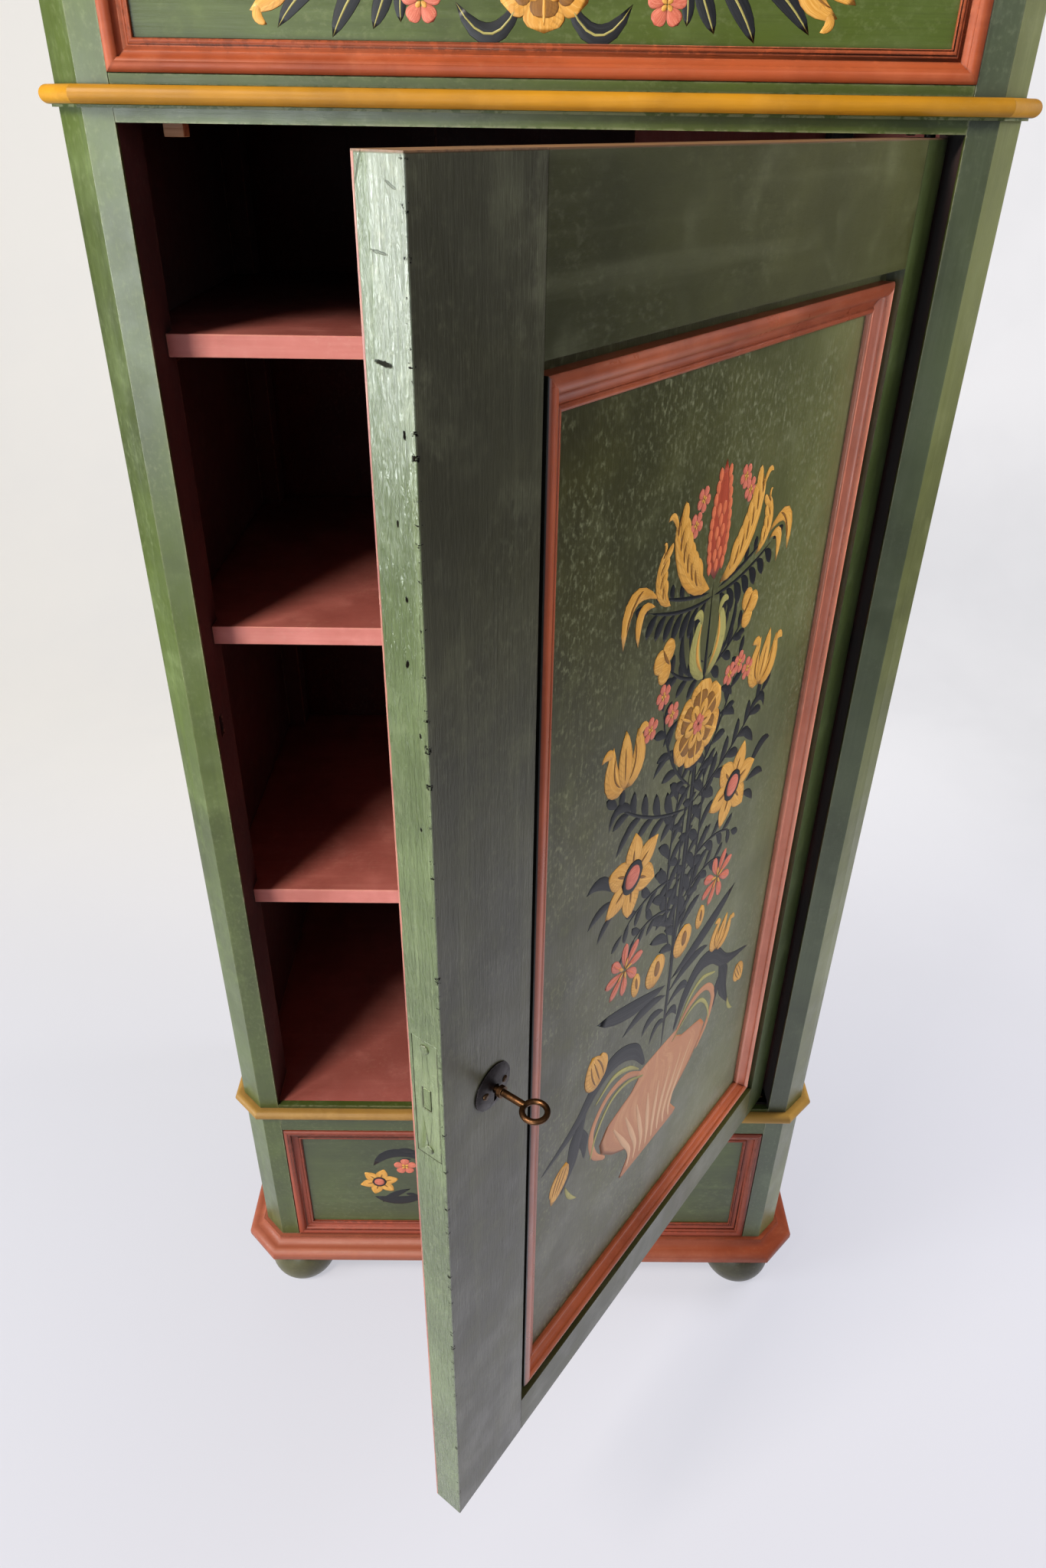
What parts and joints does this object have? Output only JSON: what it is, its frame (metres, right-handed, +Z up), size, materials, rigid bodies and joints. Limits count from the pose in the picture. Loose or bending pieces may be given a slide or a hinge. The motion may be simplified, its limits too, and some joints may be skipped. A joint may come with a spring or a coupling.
{
  "type": "one-door cupboard",
  "caption": "Tall painted cupboard with canted front corners, a framed panel door on pivots with a key lock, shelves, a drawer in the base, a frieze and turned bun feet.",
  "frame": {"origin": "on the floor under the middle of the front plane of the corner posts", "axes": "+X to the right as seen from the front, +Y from the front plane towards the back, +Z up"},
  "size_m": [0.794, 0.8926, 1.69],
  "materials": {
    "green_paint": "aged olive green paint, brushed, satin, rubbed at the edges",
    "terracotta_paint": "aged terracotta paint, satin",
    "ochre_paint": "aged ochre paint, satin",
    "rose_paint": "dull rose red paint, worn to a lighter tone at the shelf edges",
    "bare_wood": "unpainted softwood",
    "iron": "dark aged iron",
    "bronze": "browned bronze"
  },
  "bodies": {
    "case": {"back_plank_left": "bare_wood", "back_plank_middle": "bare_wood", "back_plank_right": "bare_wood", "bottom_board": "bare_wood", "bun_foot_front_left": "green_paint", "bun_foot_front_right": "green_paint", "bun_foot_rear_left": "green_paint", "bun_foot_rear_right": "green_paint", "corner_post_front_left": "green_paint", "corner_post_front_right": "green_paint", "corner_post_rear_left": "green_paint", "corner_post_rear_right": "green_paint", "cornice": "green_paint", "drawer_guides": "bare_wood", "drawer_rail": "green_paint", "frieze_board": "green_paint", "frieze_moulding": "terracotta_paint", "head_board": "rose_paint", "lower_bead": "ochre_paint", "pivot_socket_bottom": "iron", "pivot_socket_top": "iron", "plinth_moulding": "terracotta_paint", "shelf_cleats": "rose_paint", "shelf_high": "rose_paint", "shelf_low": "rose_paint", "shelf_middle": "rose_paint", "side_board_left": "green_paint", "side_board_right": "green_paint", "sill_board": "rose_paint", "socket_screws": "iron", "stop_block": "bare_wood", "top_board": "bare_wood", "upper_bead": "ochre_paint"},
    "door": {"door_moulding_bottom": "terracotta_paint", "door_moulding_left": "terracotta_paint", "door_moulding_right": "terracotta_paint", "door_moulding_top": "terracotta_paint", "door_panel": "green_paint", "door_rail_bottom": "green_paint", "door_rail_top": "green_paint", "door_stile_hinge": "green_paint", "door_stile_lock": "green_paint", "face_plate_screws": "iron", "keyhole_rosette": "iron", "lock_case": "iron", "lock_cover": "iron", "lock_face_plate": "iron", "pivot_pin_bottom": "iron", "pivot_pin_top": "iron", "rosette_screws": "iron"},
    "drawer": {"drawer_back": "bare_wood", "drawer_bottom": "bare_wood", "drawer_front": "green_paint", "drawer_knob": "ochre_paint", "drawer_moulding": "terracotta_paint", "drawer_side_left": "bare_wood", "drawer_side_right": "bare_wood"},
    "bolt": {"lock_bolt": "iron"},
    "key": {"key": "bronze"}
  },
  "joints": [
    {"name": "door_swing", "type": "hinge", "parent": "case", "child": "door", "pos_m": [0.281, 0.02, 0.342], "axis": [0, 0, 1], "range_deg": [-52.92, 47.08]},
    {"name": "key_turn", "type": "hinge", "parent": "door", "child": "key", "pos_m": [-0.03723, -0.40108, 0.8427], "axis": [-0.7978, 0.6029, 0], "range_deg": [0, 180]},
    {"name": "bolt_slide", "type": "slide", "parent": "door", "child": "bolt", "axis": [-0.6029, -0.7978, 0], "range_m": [0, 0.012]},
    {"name": "drawer_slide", "type": "slide", "parent": "case", "child": "drawer", "axis": [0, -1, 0], "range_m": [0, 0.3]}
  ],
  "couplings": [
    {"joint": "key_turn", "follows": "bolt_slide", "rad_per_m": 261.8}
  ]
}
